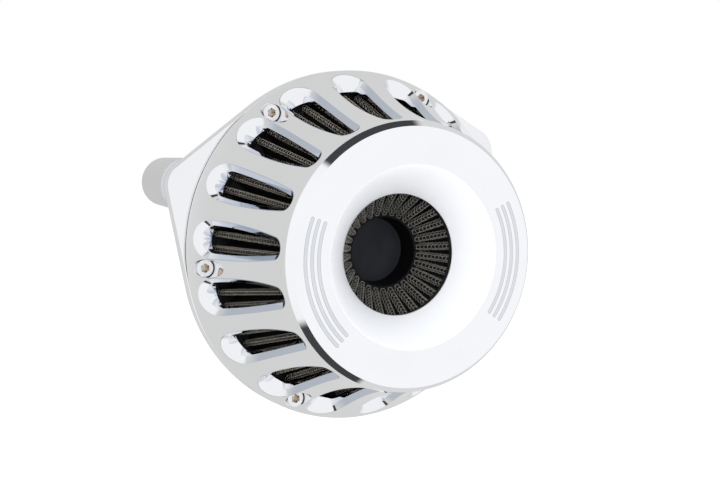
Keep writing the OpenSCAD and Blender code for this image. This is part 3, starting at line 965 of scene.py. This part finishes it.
def add_turned():
    neck, lip = HORN_R + 1.8, HORN_TOP - 5
    quarter = np.linspace(pi, pi / 2, 7), np.linspace(pi / 2, pi, 9)
    horn = [(HORN_R, 0, 0.3), (neck, 0, 0.2), (neck, PLATE_T, 0), (HORN_FLANGE_R, PLATE_T, 0.3),
            (HORN_FLANGE_R, HORN_FLANGE, 0.5), (neck, HORN_FLANGE, 1.0)]
    for size, turns in zip((3.2, 5), quarter):
        horn += [(HORN_R + 5 + size * cos(t), lip + size * sin(t), 0.4) for t in turns]
    turned_piece("horn_body", "base", HORN, "intake_horn", horn)
    turned_piece("throttle_seal", "base", GASKET, "throttle_gasket",
                 [(25, GASKET_BACK, 0.1), (HORN_FLANGE_R, GASKET_BACK, 0.1), (HORN_FLANGE_R, 0, 0.1),
                  (25, 0, 0.1)])
    turned_piece("cage_seal", "base", RUBBER, "cage_gasket",
                 [(79.4, PLATE_T, 0.2), (CAGE_R - 0.4, PLATE_T, 0.3),
                  (CAGE_R - 0.4, CAGE_BACK, 0.3), (79.4, CAGE_BACK, 0.2)], count=512)
    turned_piece("base_ring", "filter", RUBBER, "filter_base_ring",
                 [(60, PLATE_T, 0.5), (BASE_R, PLATE_T, 0.5), (BASE_R, BASE_TOP, 0.9),
                  (76, BASE_TOP, 0.3), (75, BASE_TOP - 0.6, 0.3), (64, BASE_TOP - 0.6, 0.3),
                  (63, BASE_TOP, 0.3), (60, BASE_TOP, 0.8)], count=384)
    turned_piece("front_ring", "filter", RUBBER, "filter_front_ring",
                 [(30, RING_BACK, 0.3), (43, RING_BACK, 0.2), (43, RING_LEDGE, 0.2),
                  (RING_R, RING_LEDGE, 0.4), (RING_R - 1.6, RING_FRONT, 1.0), (52, RING_FRONT, 0.3),
                  (51, RING_FRONT - 0.5, 0.3), (42, RING_FRONT - 0.5, 0.3), (41, RING_FRONT, 0.3),
                  (36.2, RING_FRONT, 0.8), (34.6, RING_LEDGE, 0.3), (30, RING_LEDGE, 0.4)],
                 count=384)
    turned_piece("deep_cap", "filter", CAP_RUBBER_PAINTED_SHADE, "end_cap",
                 [(0, CAP_BACK, 0), (CUP_R + 2.5, CAP_BACK, 0.8), (CUP_R + 2.5, CAP_TOP - 5, 0.5),
                  (CAP_R, CAP_TOP - 5, 0.5), (CAP_R, CAP_TOP, 0.8), (CUP_R + 1, CAP_TOP, 0.4),
                  (CUP_R, CAP_BACK + 2.5, 0.5), (0, CAP_BACK + 2.5, 0)], closed=False)


# ---------- filter

class Pleats:
    """A folded cone. tips are its crests' distances from the axis at its back and its front."""

    def __init__(self, folds, back, front, tips, depth, crest, outward, first=0.0):
        self.folds, self.back, self.front, self.tips = folds, back, front, tips
        self.depth, self.crest, self.outward, self.first = depth, crest, outward, first
        self.slant = hypot(front - back, tips[1] - tips[0])

    def at(self, fold, along, across, lift=0.0):
        """Points and normals. along runs 0 to 1 from the back, across starts at the crest."""
        tip = self.tips[0] + (self.tips[1] - self.tips[0]) * along
        deep = self.depth * tip / self.tips[0] if self.outward else self.depth * (tip / self.tips[0]) ** 0.9
        valley = tip - deep if self.outward else tip + deep
        half = pi * valley / self.folds
        flare = np.arctan2(half - self.crest * 0.97, deep - self.crest)
        bend = self.crest * (pi / 2 - flare)
        turn = np.minimum(np.abs(across), bend) / self.crest
        rest = np.maximum(np.abs(across) - bend, 0)
        x = (self.crest * np.sin(turn) + rest * np.sin(flare)) * np.sign(across)
        y = self.crest * (1 - np.cos(turn)) + rest * np.cos(flare)
        side, up = np.sin(turn) * np.sign(across), np.cos(turn)
        x, y = x + lift * side, y - lift * up
        angle = self.first + fold * 2 * pi / self.folds
        sign = 1 if self.outward else -1
        ring = tip - sign * y + 0 * angle
        forward = self.back + (self.front - self.back) * along
        c, s = np.cos(angle), np.sin(angle)
        points = solid(ring * c - x * s, ring * s + x * c, forward)
        normals = solid(sign * up * c - side * s, sign * up * s + side * c, 0)
        return points, normals

    def reach(self, along):
        """How far the sheet runs from a crest to its valley."""
        tip = self.tips[0] + (self.tips[1] - self.tips[0]) * along
        return self.depth * tip / self.tips[0]


def add_media(name, pleats, sink, node, rows):
    """The gauze: every fold in one closed, smooth sheet with a back to it."""
    along = np.linspace(0, 1, rows)[:, None, None]
    fold = np.arange(pleats.folds)[None, :, None]
    share = np.array([0.05, 0.12, 0.2, 0.3, 0.42, 0.6, 0.8, 1])
    across = np.concatenate([-share[::-1], share]) * pleats.reach(along)
    verts, faces, thick = [], [], 0.7
    for layer in (-sink, -sink - thick):
        points, _ = pleats.at(fold, along, across, layer)
        verts.append(points.reshape(rows, -1, 3))
    columns = verts[0].shape[1]
    front, back = np.arange(2 * rows * columns).reshape(2, rows, columns)
    for index, turn in ((front, 1), (back, -1)):
        after = np.roll(index, -1, axis=1)
        quads = np.stack([index[:-1], after[:-1], after[1:], index[1:]], axis=-1).reshape(-1, 4)
        faces += quads[:, ::turn].tolist()
    for row, turn in ((0, -1), (-1, 1)):
        after_front, after_back = np.roll(front[row], -1), np.roll(back[row], -1)
        quads = np.stack([front[row], after_front, after_back, back[row]], axis=-1)
        faces += quads[:, ::turn].tolist()
    if not pleats.outward:
        faces = [f[::-1] for f in faces]
    mesh = smooth_mesh(name, np.concatenate(verts).reshape(-1, 3) * MM, faces, [COTTON])
    place(name, mesh, "filter", [node])


def add_tubes(name, paths, lifts, thick, sides, finish, replaces=()):
    """Closed tubes along many paths at once. paths and lifts are (tube, point, 3)."""
    ahead = unit(np.gradient(paths, axis=1))
    across = unit(np.cross(ahead, lifts))
    lift = np.cross(across, ahead)
    turn = angles(sides, pi / sides)
    rings = paths[:, :, None] + thick * (np.cos(turn)[:, None] * lift[:, :, None]
                                         + np.sin(turn)[:, None] * across[:, :, None])
    tubes, points = paths.shape[:2]
    index = np.arange(tubes * points * sides).reshape(tubes, points, sides)
    after = np.roll(index, -1, axis=2)
    quads = np.stack([index[:, :-1], index[:, 1:], after[:, 1:], after[:, :-1]], axis=-1)
    faces = quads.reshape(-1, 4).tolist() + index[:, 0].tolist() + index[:, -1, ::-1].tolist()
    mesh = smooth_mesh(name, rings.reshape(-1, 3) * MM, faces, [finish])
    place(name, mesh, "filter", replaces)


def add_weave(name, pleats, pitch, thick, strands, samples, sides, finish, node):
    """A plain weave over each crest: wires along the fold, and wires across it."""
    cells, middle = round(pleats.slant / pitch), (strands - 1) / 2
    swell = thick * 0.92
    lane = (np.arange(strands) - middle) * pitch
    fold = np.arange(pleats.folds)
    step = np.arange(cells * samples + 1)[None] / samples
    run = np.linspace(-middle - 0.5, middle + 0.5, strands * max(samples, 2) + 1)[None]

    def add_wires(way, fold, along, across, wave, replaces):
        points, normals = pleats.at(fold, along, across)
        add_tubes(name + way, points + normals * (wave * swell)[..., None], normals, thick, sides,
                  finish, replaces)

    # along the fold: one tube for each fold and lane
    f, j = (a.reshape(-1, 1) for a in np.meshgrid(fold, np.arange(strands), indexing="ij"))
    add_wires("_along", f, np.clip(step / cells, 0, 1) + 0 * j, lane[j] + 0 * step,
              np.cos(pi * (step - 0.5 + j)), [node])
    # across it: one tube for each fold and row
    f, i = (a.reshape(-1, 1) for a in np.meshgrid(fold, np.arange(cells), indexing="ij"))
    add_wires("_across", f, (i + 0.5) / cells + 0 * run, run * pitch + 0 * i,
              -np.cos(pi * (i + run + middle)), ())


def add_core(name, node, back, front, low, high, strands, twist):
    """Expanded sheet: two families of flat strands that cross in diamonds."""
    share = np.linspace(0, 1, 40)
    paths = []
    for way in (1, -1):
        for start in angles(strands):
            turn = start + way * twist * share
            paths.append(around(low + (high - low) * share, turn, back + (front - back) * share))
    paths = np.array(paths)
    lifts = unit(paths * [1, 0, 1])
    add_tubes(name, paths, lifts, 0.42, 4, CORE, [node])


def add_filter():
    outer = Pleats(64, BASE_TOP - 0.5, SCREEN_TOP + 0.2, (SCREEN_R - 0.75, OUTER_TIP_R - 0.75),
                   depth=13.0, crest=1.25, outward=True, first=radians(-0.65))
    inner = Pleats(30, INNER_BACK - 0.3, INNER_FRONT + 0.2, (INNER_DEEP_R + 0.1, INNER_FRONT_R + 0.1),
                   depth=INNER_FOLD, crest=1.2, outward=False)
    add_weave("outer_weave", outer, 1.85, 0.16, 4, 3, 3, WIRE, "outer_screen")
    add_weave("inner_weave", inner, 2.0, 0.15, 4, 3, 4, INNER_WIRE_PAINTED_SHADE, "inner_screen")
    add_media("outer_gauze", outer, 0.5, "outer_pleats", 30)
    add_media("inner_gauze", inner, 0.5, "inner_pleats", 16)
    add_core("outer_support", "outer_core", BASE_TOP, SCREEN_TOP, 61.4, 44.4, 90, radians(52))
    add_core("inner_support", "inner_core", INNER_BACK, INNER_FRONT, 26.6, 41.6, 60, radians(46))


# ---------- light and floor

def add_floor():
    """A pale round floor below the filter. It doesn't show in the chrome."""
    size, drop, corners = 4.0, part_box("outer_cage")[0].z - 0.12, 96
    ring = np.insert(circle(size, corners), 2, drop, axis=1)
    mesh = bpy.data.meshes.new("floor")
    mesh.from_pydata(ring.tolist(), [], [list(range(corners))])
    floor = add_object("floor", mesh)
    finish = Finish("pale_floor", (0.93, 0.93, 0.93), 0.9,
                    inputs={"Emission Color": (1, 1, 1), "Emission Strength": 0.3})
    finish.tint(finish.noise(3), (0.94, 0.94, 0.94), (0.92, 0.92, 0.925))
    mesh.materials.append(finish.made)
    floor.visible_glossy = False


def add_world():
    """A studio as a sky: white in front, grey behind, and a dark strip above and one below."""
    world = bpy.data.worlds.new("studio")
    world.use_nodes = True
    bpy.context.scene.world = world
    world.node_tree.nodes.clear()
    shader = Shader(world.node_tree)
    x, y, z = shader.parts(shader.add("TexCoord").outputs["Generated"])

    def gap(side, middle, skew, wide, left, right):
        """1 in a soft-edged strip of the sky overhead (side 1) or underfoot (-1), 0 elsewhere."""
        slope = shader.math("SUBTRACT", y, shader.times(x, skew))
        across = shader.math("SUBTRACT", slope, middle)
        strip = shader.fade(shader.math("ABSOLUTE", across), wide + 0.03, wide - 0.03)
        strip = shader.times(strip, shader.fade(x, left - 0.04, left + 0.04))
        strip = shader.times(strip, shader.fade(x, right + 0.04, right - 0.04))
        return shader.times(strip, shader.fade(shader.times(z, side), 0.4, 0.5))

    grey = shader.blend(shader.fade(y, -0.1, 0.25), (0.955, 0.965, 0.985), (0.70, 0.70, 0.70))
    dark = shader.math("MAXIMUM", gap(1, 0.1, 0.3, 0.12, -0.42, 0.56),
                       gap(-1, 0.26, 0.33, 0.11, -0.78, -0.04))
    sky = shader.blend(dark, grey, (0.05, 0.052, 0.055))
    seen = shader.add("Background", {"Color": sky}).outputs[0]
    plain = shader.add("Background", {"Color": (1, 1, 1)}).outputs[0]
    camera = shader.add("LightPath").outputs["Is Camera Ray"]
    mix = shader.add("MixShader", {0: camera, 1: seen, 2: plain}).outputs[0]
    shader.add("OutputWorld", {"Surface": mix})


def add_light(name, at, size, power):
    data = bpy.data.lights.new(name, "AREA")
    data.shape, data.size, data.energy = "DISK", size, power
    light = add_object(name, data)
    light.location = at
    light.rotation_euler = (-Vector(at)).to_track_quat("-Z", "Y").to_euler()
    light.visible_glossy = False


add_world()
add_floor()
add_light("key", (-0.9, -1.3, 1.0), 0.5, 14)
bpy.context.scene.view_settings.view_transform = "Standard"

add_cage()
add_face()
add_plate()
add_screws()
add_standoffs()
add_turned()
add_filter()
